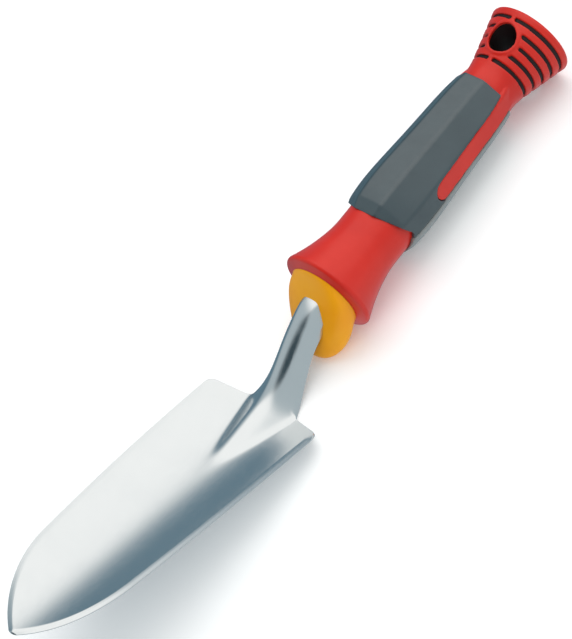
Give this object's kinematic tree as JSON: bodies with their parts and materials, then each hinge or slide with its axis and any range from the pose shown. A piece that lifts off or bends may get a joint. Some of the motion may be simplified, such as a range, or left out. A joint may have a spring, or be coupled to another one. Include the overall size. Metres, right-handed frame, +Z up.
{
  "type": "hand trowel",
  "caption": "Garden hand trowel: pressed steel scoop with a keeled gooseneck, set in a moulded handle with soft grips, flared guard and hanging hole.",
  "frame": {"origin": "on the ground plane, under the middle of the trowel's box; the trowel lies on the knob's rim and the blade's heel", "axes": "+X along the handle from the knob to the blade's tip, +Y across, +Z up out of the scoop's hollow"},
  "size_m": [0.3392, 0.0614, 0.0469],
  "materials": {
    "satin_steel": "satin plated sheet steel",
    "yellow_plastic": "fine satin moulding",
    "black_plastic": "matte moulding",
    "red_plastic": "semi-gloss moulding",
    "grey_rubber": "fine-grained soft rubber",
    "light_grey_rubber": "fine-grained soft rubber"
  },
  "bodies": {
    "root": {"blade": "satin_steel", "nose_collar": "yellow_plastic", "handle_core": "black_plastic", "handle_shell": "red_plastic", "upper_grip_pad": "grey_rubber", "lower_grip_pad": "light_grey_rubber"}
  },
  "joints": []
}
